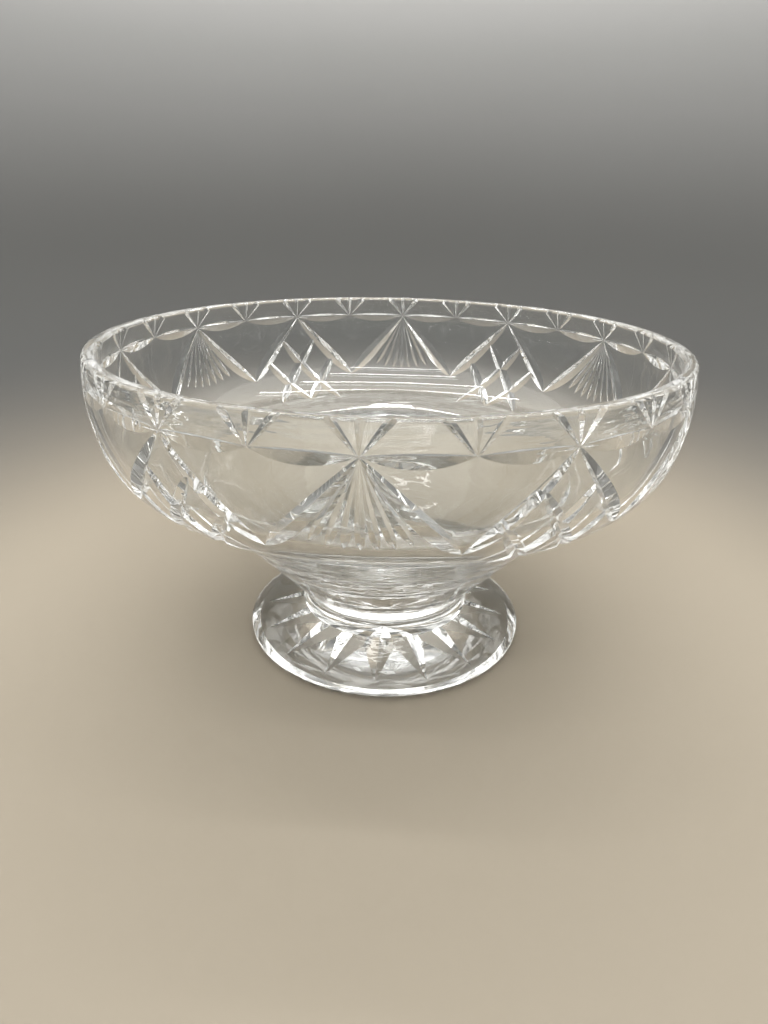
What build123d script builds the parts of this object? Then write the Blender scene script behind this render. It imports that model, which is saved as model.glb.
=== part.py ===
from build123d import *
from math import asin, atan2, cos, degrees, radians, sin, sqrt, tan
import os

# Footed cut-crystal punch bowl: a bowl, a collar and a foot of clear lead crystal, fused
# end to end. The axis is +Z, the origin is at the centre of the foot's flat underside,
# and the front star of the cutting faces -Y. Millimetres.

# Driving dimensions
RIM_HEIGHT = 173.6            # top of the rim above the table
COLLAR_RADIUS = 50.0          # both ends of the collar
COLLAR_TOP = 28.0
COLLAR_BOTTOM = 16.5
COLLAR_WAIST = 1.4            # how far the collar's side is hollowed
FOOT_RADIUS = 82.0

# Bowl, outside: belly arc, shoulder arc, a short flat slope, and a cone to the collar
BELLY_CENTRE = (62.6, 156.0)
BELLY_RADIUS = 90.0
BELLY_END = 130.0             # height where the belly turns into the shoulder
SHOULDER_RADIUS = 42.0
SHOULDER_TURN = 63.0          # degrees below horizontal where the shoulder ends
SLOPE_LENGTH = 24.0

# Bowl, inside
RIM_WALL = 6.0
WALL = 7.4
FLOOR_HEIGHT = 40.0           # middle of the hollow's rounded floor
RIDGE_RADIUS = 40.0           # soft ridge inside, where the slope turns into the cone
RIM_ROUND = 2.2

# Foot
FOOT_FLAT_RADIUS = 76.0       # flat part of the underside
FOOT_EDGE_LOW = 2.2           # heights of the foot's edge band
FOOT_EDGE_TOP = 4.4
FOOT_TOP_SAG = 2.2            # how far the foot's upper side curves up from a plain cone
RAY_COUNT = 16
RAY_TIP_RADIUS = 72.5
RAY_DEPTH = 5.5               # of the star's rays at the centre of the foot
RAY_HALF_ANGLE = 74.0

# Cutting on the bowl
STAR_COUNT = 12               # large stars, every second one with a fan of rays
STAR_PITCH = 360 / STAR_COUNT
HALF_PITCH = STAR_PITCH / 2
RING_HEIGHT = 160.5           # the level of the star centres
MAIN_DROP = 42.0              # from the ring down to where two main cuts meet
MAIN_DEPTH = 2.8
MITRE_ANGLE = 50.0            # half of the angle between a groove's two faces
RIM_CUT_DEPTH = 1.3
RIM_CUT_SPREAD = 3.7          # degrees between neighbouring cuts at the rim
LENS_LOWER_ANGLE = 76.0
LENS_UPPER_ANGLE = 42.0
FAN_RAYS = 7
FAN_SPREAD = 2.5              # degrees between neighbouring rays at their lower ends
FAN_END = 126.0
FAN_ANGLE = 36.0
HATCH_LINES = 3               # the hatched field is three diamonds along each side
HATCH_DEPTH = 0.5
GROOVE_OPENING = 9.0          # how far a cutter reaches out of the glass
OVERRUN = 2.0


def on_circle(centre, radius, turn):
    """A point of a profile arc, turned down from the outward direction by some degrees."""
    return (centre[0] + radius * cos(radians(turn)), centre[1] - radius * sin(radians(turn)))


# Points of the bowl's outside profile, as (radius, height)
BELLY_TURN = degrees(asin((BELLY_CENTRE[1] - BELLY_END) / BELLY_RADIUS))
SHOULDER_CENTRE = on_circle(BELLY_CENTRE, BELLY_RADIUS - SHOULDER_RADIUS, BELLY_TURN)
SHOULDER_START = on_circle(BELLY_CENTRE, BELLY_RADIUS, BELLY_TURN)
SHOULDER_MIDDLE = on_circle(SHOULDER_CENTRE, SHOULDER_RADIUS, (BELLY_TURN + SHOULDER_TURN) / 2)
SHOULDER_END = on_circle(SHOULDER_CENTRE, SHOULDER_RADIUS, SHOULDER_TURN)
SLOPE_END = (
    SHOULDER_END[0] - SLOPE_LENGTH * sin(radians(SHOULDER_TURN)),
    SHOULDER_END[1] - SLOPE_LENGTH * cos(radians(SHOULDER_TURN)),
)
CONE_TURN = degrees(atan2(SLOPE_END[0] - COLLAR_RADIUS, SLOPE_END[1] - COLLAR_TOP))


def outer_radius(height):
    """Radius of the bowl's outside at a height above the end of the slope."""
    if height >= SHOULDER_START[1]:
        return BELLY_CENTRE[0] + sqrt(BELLY_RADIUS ** 2 - (height - BELLY_CENTRE[1]) ** 2)
    if height >= SHOULDER_END[1]:
        drop = SHOULDER_CENTRE[1] - height
        return SHOULDER_CENTRE[0] + sqrt(SHOULDER_RADIUS ** 2 - drop ** 2)
    return SHOULDER_END[0] - (SHOULDER_END[1] - height) * tan(radians(SHOULDER_TURN))


def outer_turn(height):
    """Degrees by which the outside's normal points below horizontal at a height."""
    if height >= SHOULDER_START[1]:
        return degrees(asin((BELLY_CENTRE[1] - height) / BELLY_RADIUS))
    if height >= SHOULDER_END[1]:
        return degrees(asin((SHOULDER_CENTRE[1] - height) / SHOULDER_RADIUS))
    return SHOULDER_TURN


def outward(angle, height):
    """The outside's normal at an angle, in degrees from the front, and a height."""
    turn = radians(outer_turn(height))
    around = radians(angle)
    return Vector(sin(around) * cos(turn), -cos(around) * cos(turn), -sin(turn))


def glass_point(angle, height, depth):
    """A point some depth under the bowl's outside."""
    radius = outer_radius(height)
    around = radians(angle)
    skin = Vector(radius * sin(around), -radius * cos(around), height)
    return skin - outward(angle, height) * depth


def wedge(start, end, normal, lower=MITRE_ANGLE, upper=MITRE_ANGLE):
    """A straight V-shaped cutter: its edge runs from start to end and it opens outward."""
    along = (end - start).normalized()
    opening = (normal - along * normal.dot(along)).normalized()
    section = Plane(origin=start - along * OVERRUN, x_dir=opening.cross(along), z_dir=along)
    left = -GROOVE_OPENING * tan(radians(upper))
    right = GROOVE_OPENING * tan(radians(lower))
    outline = Polygon((0, 0), (right, GROOVE_OPENING), (left, GROOVE_OPENING), align=None)
    return extrude(section * outline, amount=(end - start).length + 2 * OVERRUN)


def groove(stops, lower=MITRE_ANGLE, upper=MITRE_ANGLE):
    """Cutters for a groove that runs straight from stop to stop: (angle, height, depth)."""
    cutters = []
    for first, second in zip(stops, stops[1:]):
        middle = outward((first[0] + second[0]) / 2, (first[1] + second[1]) / 2)
        cutters.append(wedge(glass_point(*first), glass_point(*second), middle, lower, upper))
    return cutters


def rim_cuts(angle):
    """Three cuts that rise from a star's centre and notch the rim."""
    cutters = []
    for side in (-1, 0, 1):
        top = (angle + side * RIM_CUT_SPREAD, RIM_HEIGHT, RIM_CUT_DEPTH)
        cutters += groove([(angle, RING_HEIGHT, 0), top])
    return cutters


def lens_cut(angle):
    """The long shallow cut between a large star and the next small one."""
    stops = [(angle, RING_HEIGHT, 0), (angle + HALF_PITCH, RING_HEIGHT, 0)]
    return groove(stops, LENS_LOWER_ANGLE, LENS_UPPER_ANGLE)


def main_cuts(angle):
    """The two broad cuts that fall away from a large star."""
    cutters = []
    for side in (-1, 1):
        halfway = (angle + side * HALF_PITCH / 2, RING_HEIGHT - MAIN_DROP / 2, MAIN_DEPTH)
        foot = (angle + side * HALF_PITCH, RING_HEIGHT - MAIN_DROP, 0)
        cutters += groove([(angle, RING_HEIGHT, 0), halfway, foot])
    return cutters


def fan_cuts(angle):
    """The slim rays that fill the space between a fan star's main cuts."""
    cutters = []
    for ray in range(FAN_RAYS):
        side = ray - (FAN_RAYS - 1) / 2
        end = (angle + side * FAN_SPREAD, FAN_END, 0)
        cutters += groove([(angle, RING_HEIGHT, 0), end], FAN_ANGLE, FAN_ANGLE)
    return cutters


def field_point(angle, right, left, depth):
    """A stop in the field under a star, in shares of its right and left main cuts."""
    across = HALF_PITCH * (right - left)
    return (angle + across, RING_HEIGHT - MAIN_DROP * (right + left), depth)


def hatch_cuts(angle):
    """The crossing cuts that divide the field under a hatched star into diamonds."""
    cutters = []
    for line in range(1, HATCH_LINES):
        share = line / HATCH_LINES
        steps = [step / HATCH_LINES for step in range(HATCH_LINES - line + 2)]
        depths = [0] + [HATCH_DEPTH] * (len(steps) - 2) + [0]
        cutters += groove([field_point(angle, share, s, d) for s, d in zip(steps, depths)])
        cutters += groove([field_point(angle, s, share, d) for s, d in zip(steps, depths)])
    return cutters


def star_cuts(star):
    """All the cuts of one large star and of the small star to its right."""
    angle = star * STAR_PITCH
    cutters = rim_cuts(angle) + rim_cuts(angle + HALF_PITCH)
    cutters += lens_cut(angle) + lens_cut(angle + HALF_PITCH)
    cutters += main_cuts(angle)
    if star % 2 == 0:
        return cutters + fan_cuts(angle)
    return cutters + hatch_cuts(angle)


def floor_circle():
    """Centre height and radius of the floor's arc, which runs smoothly into the cone's wall."""
    turn = radians(CONE_TURN)
    reach = SLOPE_END[0] * cos(turn) - SLOPE_END[1] * sin(turn) - WALL
    centre = (reach + FLOOR_HEIGHT) / (1 - sin(turn))
    return centre, centre - FLOOR_HEIGHT


def hollow_side():
    """The bowl's inside, from the middle of its floor up to where the belly begins."""
    floor_centre, floor_radius = floor_circle()
    half_bend = (SHOULDER_TURN - CONE_TURN) / 2
    away = (RIDGE_RADIUS - WALL) / cos(radians(half_bend))
    ridge_centre = on_circle(SLOPE_END, away, CONE_TURN + half_bend)
    cone_foot = on_circle((0, floor_centre), floor_radius, CONE_TURN)
    ridge_low = on_circle(ridge_centre, -RIDGE_RADIUS, CONE_TURN)
    ridge_top = on_circle(ridge_centre, -RIDGE_RADIUS, SHOULDER_TURN)
    slope_top = on_circle(SHOULDER_CENTRE, SHOULDER_RADIUS - WALL, SHOULDER_TURN)
    belly_foot = on_circle(SHOULDER_CENTRE, SHOULDER_RADIUS - WALL, BELLY_TURN)
    side = [
        RadiusArc((0, FLOOR_HEIGHT), cone_foot, -floor_radius),
        Line(cone_foot, ridge_low),
        RadiusArc(ridge_low, ridge_top, RIDGE_RADIUS),
        Line(ridge_top, slope_top),
        RadiusArc(slope_top, belly_foot, WALL - SHOULDER_RADIUS),
    ]
    return side, belly_foot


def bowl_blank():
    """The bowl before it is cut: a solid of revolution with an even wall and a round floor."""
    rim_turn = -degrees(asin((RIM_HEIGHT - BELLY_CENTRE[1]) / BELLY_RADIUS))
    rim_outer = on_circle(BELLY_CENTRE, BELLY_RADIUS, rim_turn)
    rim_inner = (rim_outer[0] - RIM_WALL, RIM_HEIGHT)
    belly_middle = on_circle(BELLY_CENTRE, BELLY_RADIUS, (rim_turn + BELLY_TURN) / 2)
    inside, belly_foot = hollow_side()
    wall = RadiusArc(belly_foot, rim_inner, WALL - BELLY_RADIUS)
    rim = Line(rim_inner, rim_outer)
    belly = ThreePointArc(rim_outer, belly_middle, SHOULDER_START)
    shoulder = ThreePointArc(SHOULDER_START, SHOULDER_MIDDLE, SHOULDER_END)
    underside = Polyline(
        SHOULDER_END, SLOPE_END, (COLLAR_RADIUS, COLLAR_TOP), (0, COLLAR_TOP), (0, FLOOR_HEIGHT)
    )
    outline = make_face(inside + [wall, rim, belly, shoulder, underside])
    blank = revolve(Plane.XZ * outline, axis=Axis.Z)
    rim_edges = blank.edges().group_by(Axis.Z)[-1]
    return fillet(rim_edges, RIM_ROUND)


def make_bowl():
    """The blank with its pattern cut into it, one star at a time."""
    bowl = bowl_blank()
    for star in range(STAR_COUNT):
        bowl -= star_cuts(star)
    return bowl


def make_collar():
    """The short hollow-sided collar that joins the bowl to the foot."""
    middle = (COLLAR_RADIUS - COLLAR_WAIST, (COLLAR_TOP + COLLAR_BOTTOM) / 2)
    side = ThreePointArc((COLLAR_RADIUS, COLLAR_BOTTOM), middle, (COLLAR_RADIUS, COLLAR_TOP))
    inside = Polyline(
        (COLLAR_RADIUS, COLLAR_TOP), (0, COLLAR_TOP), (0, COLLAR_BOTTOM),
        (COLLAR_RADIUS, COLLAR_BOTTOM)
    )
    return revolve(Plane.XZ * make_face([side, inside]), axis=Axis.Z)


def foot_ray(angle):
    """The V-shaped cutter of one ray of the star under the foot."""
    around = radians(angle)
    outward_way = Vector(sin(around), -cos(around), 0)
    tip = outward_way * RAY_TIP_RADIUS
    return wedge(Vector(0, 0, RAY_DEPTH), tip, Vector(0, 0, -1), RAY_HALF_ANGLE, RAY_HALF_ANGLE)


def make_foot():
    """The low domed foot, with a many-rayed star cut in its underside."""
    rise = COLLAR_BOTTOM - FOOT_EDGE_TOP
    top_middle = (
        (COLLAR_RADIUS + FOOT_RADIUS) / 2, FOOT_EDGE_TOP + rise / 2 + FOOT_TOP_SAG - rise * 0.25
    )
    top = ThreePointArc((FOOT_RADIUS, FOOT_EDGE_TOP), top_middle, (COLLAR_RADIUS, COLLAR_BOTTOM))
    rest = Polyline(
        (COLLAR_RADIUS, COLLAR_BOTTOM), (0, COLLAR_BOTTOM), (0, 0), (FOOT_FLAT_RADIUS, 0),
        (FOOT_RADIUS, FOOT_EDGE_LOW), (FOOT_RADIUS, FOOT_EDGE_TOP)
    )
    blank = revolve(Plane.XZ * make_face([top, rest]), axis=Axis.Z)
    return blank - [foot_ray(ray * 360 / RAY_COUNT) for ray in range(RAY_COUNT)]


os.makedirs("parts", exist_ok=True)
export_step(make_bowl(), "parts/bowl.step")
export_step(make_collar(), "parts/collar.step")
export_step(make_foot(), "parts/foot.step")
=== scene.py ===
from math import asin, atan2, cos, degrees, hypot, pi, radians, sin, tan

import bmesh
import bpy
import numpy as np
from mathutils import Matrix, Vector


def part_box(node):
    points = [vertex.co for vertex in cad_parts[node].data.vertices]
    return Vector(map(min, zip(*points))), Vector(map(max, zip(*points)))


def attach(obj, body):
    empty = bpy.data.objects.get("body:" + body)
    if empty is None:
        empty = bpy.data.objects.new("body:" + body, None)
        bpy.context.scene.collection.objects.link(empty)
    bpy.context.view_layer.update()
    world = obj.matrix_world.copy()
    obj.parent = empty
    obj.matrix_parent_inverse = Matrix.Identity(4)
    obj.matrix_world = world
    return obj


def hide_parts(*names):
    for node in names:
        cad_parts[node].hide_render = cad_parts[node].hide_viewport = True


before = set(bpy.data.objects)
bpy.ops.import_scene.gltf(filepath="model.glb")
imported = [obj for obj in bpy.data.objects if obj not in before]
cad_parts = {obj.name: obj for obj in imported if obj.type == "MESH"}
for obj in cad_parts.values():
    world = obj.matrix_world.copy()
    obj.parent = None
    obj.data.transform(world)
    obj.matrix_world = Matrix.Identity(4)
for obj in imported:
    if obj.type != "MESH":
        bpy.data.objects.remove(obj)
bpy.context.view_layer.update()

# A footed punch bowl of cut lead crystal. Its lengths are in millimetres and its angles in
# degrees, and its meshes are made in metres. Angles round the bowl are from -Y towards +X.
MM = 0.001

bowl_low, bowl_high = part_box("bowl")
foot_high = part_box("foot")[1]
RIM_HEIGHT = bowl_high.z / MM
COLLAR_TOP = bowl_low.z / MM
COLLAR_BOTTOM = foot_high.z / MM
FOOT_RADIUS = foot_high.x / MM
COLLAR_RADIUS = 50.0
COLLAR_WAIST = 1.4

# The bowl's outside: belly arc, shoulder arc, a short flat slope and a cone
BELLY_CENTRE = (62.6, 156.0)
BELLY_RADIUS = 90.0
BELLY_END = 130.0
SHOULDER_RADIUS = 42.0
SHOULDER_TURN = 63.0
SLOPE_LENGTH = 24.0

# The bowl's inside and its rim
RIM_WALL = 6.0
WALL = 7.4
FLOOR_HEIGHT = 40.0
RIDGE_RADIUS = 40.0
RIM_ROUND = 2.2
RIM_TUCK = 0.35
RIM_BLEND_START = 150.0
ROW_SHIFT = 0.01  # degrees that keep the mesh's rows off the cuts' ends, where they make slivers

# The foot. Its top is a flare that would end level at the edge, raised half way along
FOOT_FLAT_RADIUS = 76.0
FOOT_EDGE_LOW = 2.2
FOOT_EDGE_TOP = 4.4
FOOT_TOP_RAISE = 2.2
RAY_COUNT = 16
RAY_TIP_RADIUS = 72.5
RAY_DEPTH = 5.5
RAY_HALF_ANGLE = 74.0
RAY_CUTTER_DROP = 3.0
RAY_REACH = (-0.02, 1.04)

# The cutting. Stars are numbered round one ring, with the small ones half way between the large
STAR_COUNT = 12
STAR_PITCH = 360 / STAR_COUNT
HALF_PITCH = STAR_PITCH / 2
RING_HEIGHT = 160.5
LARGE_STARS = range(STAR_COUNT)
SMALL_STARS = [star + 0.5 for star in LARGE_STARS]
FAN_STARS = range(0, STAR_COUNT, 2)
HATCH_STARS = range(1, STAR_COUNT, 2)

# Each kind of cut has a depth, which its shape scales along the cut, and the angle of each
# face from the line straight into the glass. Only the lens cuts' two faces differ. A shape
# opens the sooner the smaller its opening power, and ends the more bluntly the larger its
# ending power
RIM_CUT_SPREAD = 4.0
RIM_CUT_DEPTH = 1.9
RIM_CUT_ANGLE = 46.0
RIM_CUT_REACH = (-0.05, 1.45)
RIM_CUT_OPENING = 0.8
LENS_RISE = 0.6
LENS_DEPTH = 1.35
LENS_LOWER_ANGLE = 75.0
LENS_UPPER_ANGLE = 42.0
MAIN_DROP = 42.0
MAIN_DEPTH = 2.8
MAIN_ANGLE = 54.0
MAIN_FULLNESS = 1.5
MAIN_OPENING = 0.6
MAIN_ENDING = 6
WING_ENDS = ((7.5, 1.6), (6.5, -1.1))
WING_DEPTH = 0.75
WING_ANGLE = 40.0
FAN_RAYS = (-3, -2, -1, 0, 1, 2, 3)
FAN_SPREAD = 2.5
FAN_END = 122.0
FAN_CURVE = 0.35
FAN_DEPTH = 2.1
FAN_ANGLE = 55.0
FAN_ENDING = 8
HATCH_DEPTH = 2.4
HATCH_ANGLE = 54.0
HATCH_END = 1.36
HATCH_ENDING = 4

# The cutters: how finely they are divided, how far they stand out of the glass, and between
# which distances the bowl's skin is looked for
STATION_LENGTH = 1.0
FEWEST_STATIONS = 8
CUTTER_RISE = 1.3
CUTTER_REACH = (-0.03, 1.03)
SIDE_ROWS = 2
RUN_OUT = -0.2
SKIN_SEARCH = (-2.0, 12.0)
SKIN_HALVINGS = 28
SLIVER = 1e-7  # metres

# The glass. Its ripples grow up through one zone, at the rim, and fade up through the other,
# over the cone. The zones, EDGE_ROUNDING and RELIEF_HEIGHT are in metres
GLASS_IOR = 1.545
GLASS_PALE = (0.985, 0.992, 0.99, 1)
GLASS_DEEP = (0.965, 0.978, 0.975, 1)
RIM_RIPPLE_ZONE = (0.157, 0.163)
CONE_RIPPLE_ZONE = (0.085, 0.11)
RIM_RIPPLES = 2
CONE_RIPPLES = 2.2
COLLAR_RIPPLES = 1.2
FOOT_RIPPLES = 0.7
RIPPLE_STRETCH = (2, 2, 13)
RIPPLE_SCALE, RIPPLE_DETAIL = 30, 1.5
WAVE_SCALE, WAVE_DETAIL = 22, 1
SMEAR_SCALE, SMEAR_DETAIL = 38, 6
SMEAR_TO_ROUGHNESS = (0.52, 0.8, 0.0, 0.03)
EDGE_ROUNDING = 0.0003
EDGE_SAMPLES = 4
RELIEF_STRENGTH = 0.15
RELIEF_HEIGHT = 0.0006

# The studio: a floor that turns up into a round wall, under a pale ceiling with five strips.
# The strips are in metres, and so is where the paper turns grey, outward, and white, upward
FLOOR_PALE = (0.36, 0.32, 0.262, 1)
SWEEP_GREY = (0.12, 0.12, 0.117, 1)
WALL_WHITE = (0.82, 0.82, 0.82, 1)
CEILING_WHITE = (0.94, 0.93, 0.895, 1)
CEILING_STRENGTH = 1.8
GREY_START, GREY_END = 0.24, 0.58
WHITE_START, WHITE_END = 0.16, 0.80
SWEEP_FLAT = 330.0
SWEEP_CURVE = 420.0
SWEEP_HEIGHT = 900.0
SWEEP_SEGMENTS = 96
SWEEP_CURVE_STEPS = 12
FLOOR_GAP = 0.1
STRIP_PLACES = (-1.6, -0.8, 0.0, 0.8, 1.6)
STRIP_HEIGHT = 2.1
STRIP_SIZE = (1.8, 0.06)
STRIP_POWER = 7.5

# The camera, in metres, fitted to the rim's and the foot's outlines
CAMERA_LENS = 23.91
CAMERA_DISTANCE = 0.3648
CAMERA_HEIGHT = 0.2393
CAMERA_SWING = radians(3.56)
CAMERA_PITCH = radians(24.81)
CAMERA_YAW = radians(-0.22)
CAMERA_ROLL = radians(1.05)

# The meshes: how finely they are divided, and what counts as an edge or as a fused face
BOWL_SEGMENTS = 360
FOOT_SEGMENTS = 256
COLLAR_STEPS = 16
FOOT_TOP_STEPS = 24
SMOOTH_ANGLE = radians(9)
LEVEL_NORMAL = 0.999
JOINT_SLACK = 0.01


# ---------------------------------------------------------------- profiles

def on_circle(centre, radius, turn):
    return (centre[0] + radius * cos(radians(turn)), centre[1] - radius * sin(radians(turn)))


BELLY_TURN = degrees(asin((BELLY_CENTRE[1] - BELLY_END) / BELLY_RADIUS))
SHOULDER_CENTRE = on_circle(BELLY_CENTRE, BELLY_RADIUS - SHOULDER_RADIUS, BELLY_TURN)
SHOULDER_START = on_circle(BELLY_CENTRE, BELLY_RADIUS, BELLY_TURN)
SHOULDER_END = on_circle(SHOULDER_CENTRE, SHOULDER_RADIUS, SHOULDER_TURN)
SLOPE_END = (
    SHOULDER_END[0] - SLOPE_LENGTH * sin(radians(SHOULDER_TURN)),
    SHOULDER_END[1] - SLOPE_LENGTH * cos(radians(SHOULDER_TURN)),
)
CONE_TURN = degrees(atan2(SLOPE_END[0] - COLLAR_RADIUS, SLOPE_END[1] - COLLAR_TOP))


def outer_radius(height):
    """Radius of the bowl's outside at a height above the end of the slope."""
    if height >= SHOULDER_START[1]:
        return BELLY_CENTRE[0] + (BELLY_RADIUS ** 2 - (height - BELLY_CENTRE[1]) ** 2) ** 0.5
    if height >= SHOULDER_END[1]:
        drop = SHOULDER_CENTRE[1] - height
        return SHOULDER_CENTRE[0] + (SHOULDER_RADIUS ** 2 - drop ** 2) ** 0.5
    return SHOULDER_END[0] - (SHOULDER_END[1] - height) * tan(radians(SHOULDER_TURN))


def outer_turn(height):
    """Degrees by which the outside's normal points below horizontal at a height."""
    if height >= SHOULDER_START[1]:
        return degrees(asin((BELLY_CENTRE[1] - height) / BELLY_RADIUS))
    if height >= SHOULDER_END[1]:
        return degrees(asin((SHOULDER_CENTRE[1] - height) / SHOULDER_RADIUS))
    return SHOULDER_TURN


def skin_point(angle, height):
    """A point of the bowl's outside."""
    radius = outer_radius(height)
    return Vector((radius * sin(radians(angle)), -radius * cos(radians(angle)), height))


def skin_normal(angle, height):
    """The direction straight out of the bowl's outside at a place."""
    turn = radians(outer_turn(height))
    around = radians(angle)
    return Vector((sin(around) * cos(turn), -cos(around) * cos(turn), -sin(turn)))


def onto_skin(point, way):
    """The point of the bowl's outside that is reached from a point by going along way."""
    low, high = SKIN_SEARCH
    for _ in range(SKIN_HALVINGS):
        middle = (low + high) / 2
        trial = point + way * middle
        if hypot(trial.x, trial.y) < outer_radius(trial.z):
            low = middle
        else:
            high = middle
    found = point + way * low
    return degrees(atan2(found.x, -found.y)), found.z


def arc(centre, radius, start, end, steps):
    """Profile points from one turn to another, without the first."""
    turns = np.linspace(start, end, steps + 1)[1:]
    return [on_circle(centre, radius, turn) for turn in turns]


def straight(start, end, steps):
    """Profile points from start to end, without the first."""
    shares = np.linspace(0, 1, steps + 1)[1:]
    run, rise = end[0] - start[0], end[1] - start[1]
    return [(start[0] + run * share, start[1] + rise * share) for share in shares]


# ---------------------------------------------------------------- meshes

def mesh_object(name, points, faces):
    """A new object with a mesh in metres of points in millimetres."""
    mesh = bpy.data.meshes.new(name)
    mesh.from_pydata([Vector(p) * MM for p in points], [], faces)
    mesh.update()
    made = bpy.data.objects.new(name, mesh)
    bpy.context.scene.collection.objects.link(made)
    return made


def rings(profile, segments, shift=0):
    """Points round the axis for each point of a profile, the first a share of a step past -Y."""
    points = []
    for radius, height in profile:
        for step in range(segments):
            around = 2 * pi * (step + shift) / segments
            points.append((radius * sin(around), -radius * cos(around), height))
    return points


def stave(first, ring_count, segments, step):
    """The faces from ring to ring at one step round, for rings whose points start at first."""
    after = (step + 1) % segments
    faces = []
    for low in range(first, first + (ring_count - 1) * segments, segments):
        high = low + segments
        faces.append((low + step, high + step, high + after, low + after))
    return faces


def lathe(name, profile, segments):
    """A closed solid of revolution. The profile runs from the axis round to the axis again."""
    side = profile[1:-1]
    points = [(0, 0, profile[0][1]), (0, 0, profile[-1][1])] + rings(side, segments, 0.5)
    last = len(points) - segments
    faces = []
    for step in range(segments):
        after = (step + 1) % segments
        faces.append((0, 2 + step, 2 + after))
        faces.append((1, last + after, last + step))
        faces += stave(2, len(side), segments, step)
    return mesh_object(name, points, faces)


def v_cutter(stations, rows=1):
    """Points and faces of a V-shaped cutter, with each side divided into rows.

    Each station is its edge and two top corners.
    """
    shares = [row / rows for row in range(1, rows + 1)]
    points = []
    for edge, left, right in stations:
        points.append(edge)
        points += [edge.lerp(left, share) for share in shares]
        points += [edge.lerp(right, share) for share in reversed(shares)]
    count = 1 + 2 * rows
    faces = [tuple(range(count))]
    for low in range(0, len(points) - count, count):
        for side in range(count):
            after = (side + 1) % count
            faces.append((low + side, low + count + side, low + count + after, low + after))
    faces.append(tuple(reversed(range(len(points) - count, len(points)))))
    return points, faces


def parabola(share):
    """Depth of a wheel's cut along its length: nothing at the ends, most at the middle."""
    return 4 * share * (1 - share)


def bowl_cutter(start, end, depth, shape, lower, upper, reach=CUTTER_REACH):
    """A straight groove on the bowl's outside between two places, as (angle, height)."""
    first = skin_point(*start)
    second = skin_point(*end)
    middle = skin_normal((start[0] + end[0]) / 2, (start[1] + end[1]) / 2)
    along = (second - first).normalized()
    way = (middle - along * middle.dot(along)).normalized()
    stations = []
    steps = max(round((second - first).length / STATION_LENGTH), FEWEST_STATIONS)
    for share in np.linspace(reach[0], reach[1], steps + 1):
        angle, height = onto_skin(first + (second - first) * float(share), way)
        skin = skin_point(angle, height)
        normal = skin_normal(angle, height)
        side = along.cross(normal).normalized()
        sunk = depth * shape(float(share))
        rise = normal * CUTTER_RISE
        stations.append((
            skin - normal * sunk,
            skin + rise + side * (CUTTER_RISE + sunk) * tan(radians(lower)),
            skin + rise - side * (CUTTER_RISE + sunk) * tan(radians(upper)),
        ))
    return v_cutter(stations, SIDE_ROWS)


def join_cutters(name, cutters):
    """One object of several cutters that don't touch each other."""
    points, faces = [], []
    for own_points, own_faces in cutters:
        offset = len(points)
        points += own_points
        faces += [tuple(index + offset for index in face) for face in own_faces]
    made = mesh_object(name, points, faces)
    recalculate_normals(made)
    return made


def recalculate_normals(made):
    """Turns every face of a closed mesh outward."""
    work = bmesh.new()
    work.from_mesh(made.data)
    bmesh.ops.recalc_face_normals(work, faces=work.faces)
    work.to_mesh(made.data)
    work.free()


def drop_slivers(mesh):
    """Removes the faces of no area that cuts can leave where many of them cross."""
    work = bmesh.new()
    work.from_mesh(mesh)
    bmesh.ops.dissolve_degenerate(work, dist=SLIVER, edges=work.edges[:])
    work.to_mesh(mesh)
    work.free()


def carve(blank, rounds):
    """Cuts each round of cutters out of a blank, and removes the cutters."""
    tools = []
    for index, cutters in enumerate(rounds):
        tool = join_cutters(f"{blank.name}_cutters_{index}", cutters)
        cut = blank.modifiers.new(f"cut_{index}", "BOOLEAN")
        cut.operation = "DIFFERENCE"
        cut.solver = "MANIFOLD"
        cut.object = tool
        tools.append(tool)
    bpy.context.view_layer.update()
    graph = bpy.context.evaluated_depsgraph_get()
    carved = bpy.data.meshes.new_from_object(blank.evaluated_get(graph))
    carved.materials.clear()
    drop_slivers(carved)
    blank.modifiers.clear()
    blank.data = carved
    for tool in tools:
        bpy.data.objects.remove(tool)
    return blank


def finish_surface(piece, joint_heights):
    """Smooth shading with crisp cut edges, and the see-through joint material on fused faces."""
    mesh = piece.data
    for polygon in mesh.polygons:
        polygon.use_smooth = True
        height = polygon.center.z / MM
        level = abs(polygon.normal.z) > LEVEL_NORMAL
        fused = level and any(abs(height - joint) < JOINT_SLACK for joint in joint_heights)
        polygon.material_index = 1 if fused else 0
    mesh.set_sharp_from_angle(angle=SMOOTH_ANGLE)


# ---------------------------------------------------------------- the bowl

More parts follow.
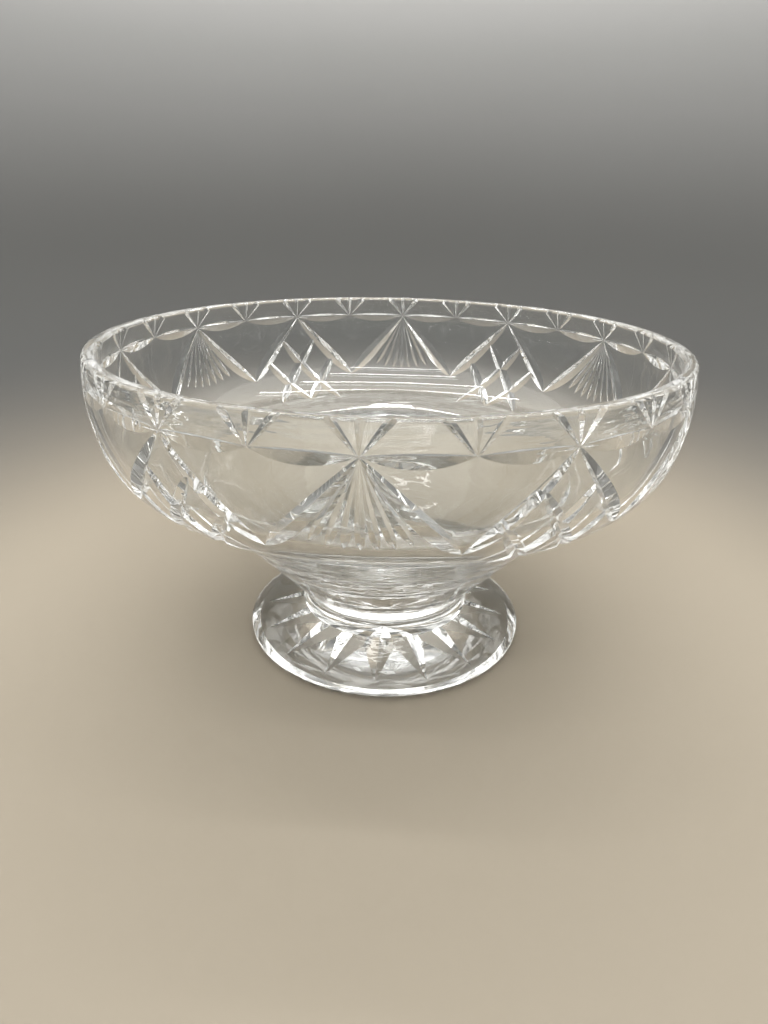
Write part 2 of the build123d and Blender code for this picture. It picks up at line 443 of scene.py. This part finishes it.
def hollow_profile():
    """The bowl's inside, from the middle of its floor up to where the belly begins.

    The floor's arc is centred on the axis and runs smoothly into the cone. The ridge's, centred
    outside the bowl, rounds the bend between the cone and the slope.
    """
    turn = radians(CONE_TURN)
    reach = SLOPE_END[0] * cos(turn) - SLOPE_END[1] * sin(turn) - WALL
    floor_centre = (reach + FLOOR_HEIGHT) / (1 - sin(turn))
    floor_radius = floor_centre - FLOOR_HEIGHT
    half_bend = (SHOULDER_TURN - CONE_TURN) / 2
    away = (RIDGE_RADIUS - WALL) / cos(radians(half_bend))
    ridge_centre = on_circle(SLOPE_END, away, CONE_TURN + half_bend)
    profile = [(0, FLOOR_HEIGHT)]
    profile += arc((0, floor_centre), floor_radius, 90, CONE_TURN, steps=24)
    ridge_start = on_circle(ridge_centre, -RIDGE_RADIUS, CONE_TURN)
    profile += straight(profile[-1], ridge_start, steps=4)
    profile += arc(ridge_centre, -RIDGE_RADIUS, CONE_TURN, SHOULDER_TURN, steps=8)
    slope_top = on_circle(SHOULDER_CENTRE, SHOULDER_RADIUS - WALL, SHOULDER_TURN)
    profile += straight(profile[-1], slope_top, steps=3)
    profile += arc(SHOULDER_CENTRE, SHOULDER_RADIUS - WALL, SHOULDER_TURN, BELLY_TURN, steps=20)
    return profile


def bowl_profile():
    """The whole bowl: up the inside, over the rim, and down the outside to the collar."""
    rim_turn = -degrees(asin((RIM_HEIGHT - BELLY_CENTRE[1]) / BELLY_RADIUS))
    rim_outer = on_circle(BELLY_CENTRE, BELLY_RADIUS, rim_turn)
    inner_radius = BELLY_RADIUS - WALL
    lip_turn = -degrees(asin((RIM_HEIGHT - RIM_ROUND - BELLY_CENTRE[1]) / BELLY_RADIUS))
    rim_inner = rim_outer[0] - RIM_WALL
    inner_lip = (rim_inner + RIM_ROUND, RIM_HEIGHT - RIM_ROUND)
    outer_lip = (rim_outer[0] - RIM_ROUND + RIM_TUCK, RIM_HEIGHT - RIM_ROUND)
    inner_turn = -degrees(asin((inner_lip[1] - BELLY_CENTRE[1]) / inner_radius))
    wall_top = on_circle(BELLY_CENTRE, inner_radius, inner_turn)
    profile = hollow_profile()
    profile += arc(BELLY_CENTRE, inner_radius, BELLY_TURN, inner_turn, steps=16)
    shift = rim_inner - wall_top[0]
    profile = [
        (radius + shift * smooth_rise(height, RIM_BLEND_START, inner_lip[1]), height)
        for radius, height in profile
    ]
    profile += arc(inner_lip, RIM_ROUND, -180, -90, steps=14)
    profile += arc(outer_lip, RIM_ROUND, -90, 0, steps=14)[:-1]
    profile += arc(BELLY_CENTRE, BELLY_RADIUS, lip_turn - ROW_SHIFT, BELLY_TURN, steps=36)
    profile += arc(SHOULDER_CENTRE, SHOULDER_RADIUS, BELLY_TURN, SHOULDER_TURN, steps=24)
    profile += straight(SHOULDER_END, SLOPE_END, steps=4)
    profile += straight(SLOPE_END, (COLLAR_RADIUS, COLLAR_TOP), steps=10)
    profile.append((0, COLLAR_TOP))
    return profile


def smooth_rise(value, start, end):
    """From 0 at the start to 1 at the end, level at both."""
    share = min(max((value - start) / (end - start), 0), 1)
    return share * share * (3 - 2 * share)


def rim_reach(share):
    """Depth of a cut that starts at nothing and deepens to and past the rim."""
    return share ** RIM_CUT_OPENING if share > 0 else share


def ray_shape(share):
    """Depth of a fan's ray: slim at the star, full near its lower end, then quickly out."""
    return share * max(1 - share ** FAN_ENDING, RUN_OUT)


def main_shape(share):
    """Depth of a broad cut: it opens quickly, keeps its width and ends bluntly."""
    if share <= 0:
        return share
    return MAIN_FULLNESS * share ** MAIN_OPENING * max(1 - share ** MAIN_ENDING, RUN_OUT)


def hatch_shape(share):
    """Depth of a long even cut that runs out at its ends."""
    return 1 - abs(2 * share - 1) ** HATCH_ENDING


def each_star(make, stars=LARGE_STARS):
    """One cutter for each of the stars, made from the star's angle."""
    return [make(star * STAR_PITCH) for star in stars]


def rim_rounds():
    """Three cuts from every star's centre up through the rim."""
    rounds = []
    for side in (-1, 0, 1):
        def rim_cut(angle):
            top = (angle + side * RIM_CUT_SPREAD, RIM_HEIGHT)
            return bowl_cutter((angle, RING_HEIGHT), top, RIM_CUT_DEPTH, rim_reach,
                               RIM_CUT_ANGLE, RIM_CUT_ANGLE, RIM_CUT_REACH)
        rounds += [each_star(rim_cut, LARGE_STARS), each_star(rim_cut, SMALL_STARS)]
    return rounds


def lens_rounds():
    """The long shallow cuts between neighbouring stars."""
    rounds = []
    for side in (0, 1):
        def lens(angle):
            start = (angle + side * HALF_PITCH, RING_HEIGHT + LENS_RISE)
            end = (angle + (side + 1) * HALF_PITCH, RING_HEIGHT + LENS_RISE)
            return bowl_cutter(start, end, LENS_DEPTH, parabola,
                               LENS_LOWER_ANGLE, LENS_UPPER_ANGLE)
        rounds.append(each_star(lens))
    return rounds


def main_rounds():
    """The two broad cuts that fall away from each large star."""
    rounds = []
    for side in (-1, 1):
        def main(angle):
            end = (angle + side * HALF_PITCH, RING_HEIGHT - MAIN_DROP)
            return bowl_cutter((angle, RING_HEIGHT), end, MAIN_DEPTH, main_shape,
                               MAIN_ANGLE, MAIN_ANGLE)
        rounds.append(each_star(main))
    return rounds


def wing_rounds():
    """The short cuts beside each large star, a longer and a shorter one on each side."""
    rounds = []
    for side in (-1, 1):
        for reach, rise in WING_ENDS:
            def wing(angle):
                end = (angle + side * reach, RING_HEIGHT + rise)
                return bowl_cutter((angle, RING_HEIGHT), end, WING_DEPTH, parabola,
                                   WING_ANGLE, WING_ANGLE)
            rounds.append(each_star(wing))
    return rounds


def fan_rounds():
    """The slim rays between the broad cuts of each fan star."""
    rounds = []
    for ray in FAN_RAYS:
        def fan_ray(angle):
            end = (angle + ray * FAN_SPREAD, FAN_END + FAN_CURVE * ray * ray)
            return bowl_cutter((angle, RING_HEIGHT), end, FAN_DEPTH, ray_shape,
                               FAN_ANGLE, FAN_ANGLE)
        rounds.append(each_star(fan_ray, FAN_STARS))
    return rounds


def hatch_rounds():
    """The crossing cuts under each hatched star, two in each direction."""
    rounds = []
    for third in (1 / 3, 2 / 3):
        far = HATCH_END - third
        for mirror in (-1, 1):
            def hatch(angle):
                across = mirror * HALF_PITCH
                start = (angle + across * third, RING_HEIGHT - MAIN_DROP * third)
                end = (angle + across * (third - far), RING_HEIGHT - MAIN_DROP * (third + far))
                return bowl_cutter(start, end, HATCH_DEPTH, hatch_shape,
                                   HATCH_ANGLE, HATCH_ANGLE)
            rounds.append(each_star(hatch, HATCH_STARS))
    return rounds


def bowl_rounds():
    """The pattern, as rounds of cutters. The cutters of one round don't touch."""
    rounds = rim_rounds() + lens_rounds() + main_rounds() + wing_rounds()
    return rounds + fan_rounds() + hatch_rounds()


# ---------------------------------------------------------------- collar and foot

def collar_profile():
    """The collar: two flat ends and a side that is hollowed by an arc."""
    half = (COLLAR_TOP - COLLAR_BOTTOM) / 2
    radius = (COLLAR_WAIST ** 2 + half ** 2) / (2 * COLLAR_WAIST)
    reach = degrees(asin(half / radius))
    centre = (COLLAR_RADIUS - COLLAR_WAIST + radius, COLLAR_BOTTOM + half)
    side = [
        (centre[0] - radius * cos(radians(turn)), centre[1] + radius * sin(radians(turn)))
        for turn in np.linspace(reach, -reach, COLLAR_STEPS + 1)
    ]
    return [(0, COLLAR_TOP)] + side + [(0, COLLAR_BOTTOM)]


def foot_profile():
    """The foot: a low, slightly hollow flare, an edge band, a bevel and a flat underside."""
    rise = COLLAR_BOTTOM - FOOT_EDGE_TOP
    run = FOOT_RADIUS - COLLAR_RADIUS
    top = []
    for share in np.linspace(0, 1, FOOT_TOP_STEPS + 1):
        height = FOOT_EDGE_TOP + rise * (1 - share) ** 2 + FOOT_TOP_RAISE * parabola(share)
        top.append((COLLAR_RADIUS + run * share, height))
    edge = [(FOOT_RADIUS, FOOT_EDGE_LOW)]
    return [(0, COLLAR_BOTTOM)] + top + edge + [(FOOT_FLAT_RADIUS, 0), (0, 0)]


def foot_ray(index):
    """The cutter for one ray of the star under the foot."""
    around = 2 * pi * index / RAY_COUNT
    way = Vector((sin(around), -cos(around), 0))
    side = Vector((cos(around), sin(around), 0))
    drop = Vector((0, 0, -RAY_CUTTER_DROP))
    stations = []
    for share in RAY_REACH:
        depth = RAY_DEPTH * (1 - share)
        middle = way * RAY_TIP_RADIUS * share
        half = (depth + RAY_CUTTER_DROP) * tan(radians(RAY_HALF_ANGLE))
        edge = middle + Vector((0, 0, depth))
        stations.append((edge, middle + drop + side * half, middle + drop - side * half))
    return v_cutter(stations)


# ---------------------------------------------------------------- materials

def new_material(name):
    """A material with its node tree."""
    material = bpy.data.materials.new(name)
    material.use_nodes = True
    return material, material.node_tree


def add_node(tree, kind, inputs=(), **settings):
    """A new node with its settings, and with values for some of its input sockets."""
    node = tree.nodes.new(kind)
    for name, value in settings.items():
        setattr(node, name, value)
    for name, value in dict(inputs).items():
        node.inputs[name].default_value = value
    return node


def map_range(tree, value, low, high, start, end, **settings):
    """A Map Range node from low and high to start and end."""
    names = ("From Min", "From Max", "To Min", "To Max")
    node = add_node(tree, "ShaderNodeMapRange", zip(names, (low, high, start, end)), **settings)
    tree.links.new(value, node.inputs["Value"])
    return node.outputs["Result"]


def mix_colours(tree, factor, first, second):
    """A Mix node between two colours, of which the first may come from a socket."""
    node = add_node(tree, "ShaderNodeMix", data_type="RGBA")
    if isinstance(first, bpy.types.NodeSocket):
        tree.links.new(first, node.inputs["A"])
    else:
        node.inputs["A"].default_value = first
    node.inputs["B"].default_value = second
    tree.links.new(factor, node.inputs["Factor"])
    return node.outputs["Result"]


def noise(tree, place, scale, detail):
    """A noise texture's strength at a place."""
    node = add_node(tree, "ShaderNodeTexNoise", {"Scale": scale, "Detail": detail})
    tree.links.new(place, node.inputs["Vector"])
    return node.outputs["Fac"]


def worked_relief(tree, place, ripples):
    """The glass's unevenness: soft waves all over, and drawn ripples at the rim and low down."""
    stretch = add_node(tree, "ShaderNodeMapping", {"Scale": RIPPLE_STRETCH})
    tree.links.new(place, stretch.inputs["Vector"])
    height = add_node(tree, "ShaderNodeSeparateXYZ")
    tree.links.new(place, height.inputs["Vector"])
    worked = add_node(tree, "ShaderNodeMath", operation="ADD")
    zones = ((*RIM_RIPPLE_ZONE, 0, RIM_RIPPLES), (*CONE_RIPPLE_ZONE, ripples, 0))
    for slot, zone in enumerate(zones):
        tree.links.new(map_range(tree, height.outputs["Z"], *zone), worked.inputs[slot])
    ripple = noise(tree, stretch.outputs["Vector"], RIPPLE_SCALE, RIPPLE_DETAIL)
    wave = noise(tree, place, WAVE_SCALE, WAVE_DETAIL)
    relief = add_node(tree, "ShaderNodeMath", operation="MULTIPLY_ADD")
    for slot, part in enumerate((ripple, worked.outputs["Value"], wave)):
        tree.links.new(part, relief.inputs[slot])
    return relief.outputs["Value"]


def crystal(name, ripples):
    """Clear lead crystal with faint handling marks and the slight waviness of worked glass."""
    material, tree = new_material(name)
    shader = tree.nodes["Principled BSDF"]
    shader.inputs["Transmission Weight"].default_value = 1.0
    shader.inputs["IOR"].default_value = GLASS_IOR
    place = add_node(tree, "ShaderNodeTexCoord").outputs["Object"]
    smear = noise(tree, place, SMEAR_SCALE, SMEAR_DETAIL)
    tree.links.new(map_range(tree, smear, *SMEAR_TO_ROUGHNESS), shader.inputs["Roughness"])
    tree.links.new(mix_colours(tree, smear, GLASS_PALE, GLASS_DEEP), shader.inputs["Base Color"])
    edge = add_node(tree, "ShaderNodeBevel", {"Radius": EDGE_ROUNDING}, samples=EDGE_SAMPLES)
    bump = add_node(tree, "ShaderNodeBump")
    bump.inputs["Strength"].default_value = RELIEF_STRENGTH
    bump.inputs["Distance"].default_value = RELIEF_HEIGHT
    tree.links.new(edge.outputs["Normal"], bump.inputs["Normal"])
    tree.links.new(worked_relief(tree, place, ripples), bump.inputs["Height"])
    tree.links.new(bump.outputs["Normal"], shader.inputs["Normal"])
    return material


def fused_joint():
    """The face where two gathers are fused: light passes straight through."""
    material, tree = new_material("fused_joint")
    tree.nodes.remove(tree.nodes["Principled BSDF"])
    clear = add_node(tree, "ShaderNodeBsdfTransparent")
    tree.links.new(clear.outputs[0], tree.nodes["Material Output"].inputs["Surface"])
    return material


def floor_material():
    """Paper sweep: pale under the bowl, grey further out, and white up the wall."""
    material, tree = new_material("sweep_paper")
    shader = tree.nodes["Principled BSDF"]
    shader.inputs["Roughness"].default_value = 0.8
    shader.inputs["Specular IOR Level"].default_value = 0.15
    place = add_node(tree, "ShaderNodeTexCoord").outputs["Object"]
    reach = add_node(tree, "ShaderNodeVectorMath", operation="LENGTH")
    tree.links.new(place, reach.inputs[0])
    height = add_node(tree, "ShaderNodeSeparateXYZ")
    tree.links.new(place, height.inputs["Vector"])
    soft = {"interpolation_type": "SMOOTHSTEP"}
    outward = map_range(tree, reach.outputs["Value"], GREY_START, GREY_END, 0, 1, **soft)
    upward = map_range(tree, height.outputs["Z"], WHITE_START, WHITE_END, 0, 1, **soft)
    paper = mix_colours(tree, outward, FLOOR_PALE, SWEEP_GREY)
    tree.links.new(mix_colours(tree, upward, paper, WALL_WHITE), shader.inputs["Base Color"])
    return material


# ---------------------------------------------------------------- building

def build_bowl(joint):
    """The bowl, cut on the outside."""
    bowl = carve(lathe("cut_bowl", bowl_profile(), BOWL_SEGMENTS), bowl_rounds())
    bowl.data.materials.append(crystal("bowl_glass", CONE_RIPPLES))
    bowl.data.materials.append(joint)
    finish_surface(bowl, [COLLAR_TOP])
    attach(bowl, "root")
    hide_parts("bowl")


def build_collar(joint):
    """The collar, fused to the bowl above it and the foot below."""
    collar = lathe("neck_collar", collar_profile(), FOOT_SEGMENTS)
    collar.data.materials.append(crystal("collar_glass", COLLAR_RIPPLES))
    collar.data.materials.append(joint)
    finish_surface(collar, [COLLAR_TOP, COLLAR_BOTTOM])
    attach(collar, "root")
    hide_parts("collar")


def build_foot(joint):
    """The foot, with its star cut underneath."""
    blank = lathe("star_foot", foot_profile(), FOOT_SEGMENTS)
    foot = carve(blank, [[foot_ray(index)] for index in range(RAY_COUNT)])
    foot.data.materials.append(crystal("foot_glass", FOOT_RIPPLES))
    foot.data.materials.append(joint)
    finish_surface(foot, [COLLAR_BOTTOM])
    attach(foot, "root")
    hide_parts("foot")


def build_floor():
    """A round floor that curves up into a wall, the same from every side."""
    profile = [(SWEEP_FLAT * share, -FLOOR_GAP) for share in (0.25, 0.5, 0.75, 1.0)]
    profile += [
        (SWEEP_FLAT + SWEEP_CURVE * sin(turn), SWEEP_CURVE * (1 - cos(turn)) - FLOOR_GAP)
        for turn in np.linspace(0, pi / 2, SWEEP_CURVE_STEPS + 1)[1:]
    ]
    profile.append((SWEEP_FLAT + SWEEP_CURVE, SWEEP_HEIGHT))
    points = [(0, 0, -FLOOR_GAP)] + rings(profile, SWEEP_SEGMENTS)
    faces = []
    for step in range(SWEEP_SEGMENTS):
        faces.append((0, 1 + step, 1 + (step + 1) % SWEEP_SEGMENTS))
        faces += stave(1, len(profile), SWEEP_SEGMENTS, step)
    floor = mesh_object("floor", points, faces)
    for polygon in floor.data.polygons:
        polygon.use_smooth = True
    floor.data.materials.append(floor_material())


def build_lights():
    """Five strip lamps across the ceiling, like tubes, shining straight down."""
    for index, back in enumerate(STRIP_PLACES):
        light = bpy.data.lights.new(f"strip_{index}", "AREA")
        light.shape = "RECTANGLE"
        light.size, light.size_y = STRIP_SIZE
        light.energy = STRIP_POWER
        lamp = bpy.data.objects.new(f"strip_{index}", light)
        lamp.location = (0.0, back, STRIP_HEIGHT)
        bpy.context.scene.collection.objects.link(lamp)


def build_world():
    """An even pale ceiling above the sweep's wall."""
    world = bpy.data.worlds.new("studio")
    bpy.context.scene.world = world
    world.use_nodes = True
    background = world.node_tree.nodes["Background"]
    background.inputs["Color"].default_value = CEILING_WHITE
    background.inputs["Strength"].default_value = CEILING_STRENGTH


def build_camera():
    """The viewpoint: in front, a little to the right of the fan star, looking down."""
    data = bpy.data.cameras.new("camera")
    data.lens = CAMERA_LENS
    data.sensor_width = 36
    data.clip_start = 0.01
    camera = bpy.data.objects.new("camera", data)
    bpy.context.scene.collection.objects.link(camera)
    level = cos(CAMERA_PITCH)
    forward = Vector((sin(CAMERA_YAW) * level, cos(CAMERA_YAW) * level, -sin(CAMERA_PITCH)))
    right = Vector((cos(CAMERA_YAW), -sin(CAMERA_YAW), 0))
    up = right.cross(forward)
    across = right * cos(CAMERA_ROLL) + up * sin(CAMERA_ROLL)
    above = up * cos(CAMERA_ROLL) - right * sin(CAMERA_ROLL)
    swing = Matrix.Rotation(CAMERA_SWING, 3, "Z")
    axes = Matrix((swing @ across, swing @ above, swing @ -forward)).transposed()
    place = swing @ Vector((0, -CAMERA_DISTANCE, CAMERA_HEIGHT))
    camera.matrix_world = Matrix.Translation(place) @ axes.to_4x4()
    bpy.context.scene.camera = camera


def render_look():
    """Enough bounces for light to find its way out of the glass, and the view's contrast."""
    scene = bpy.context.scene
    scene.cycles.max_bounces = 64
    scene.cycles.transmission_bounces = 64
    scene.cycles.glossy_bounces = 64
    scene.cycles.transparent_max_bounces = 24
    scene.cycles.diffuse_bounces = 3
    scene.cycles.caustics_reflective = True
    scene.cycles.caustics_refractive = True
    scene.cycles.sample_clamp_indirect = 6
    scene.cycles.use_denoising = True
    scene.view_settings.view_transform = "Standard"
    scene.view_settings.look = "Medium High Contrast"


shared_joint = fused_joint()
build_bowl(shared_joint)
build_collar(shared_joint)
build_foot(shared_joint)
build_floor()
build_lights()
build_world()
build_camera()
render_look()
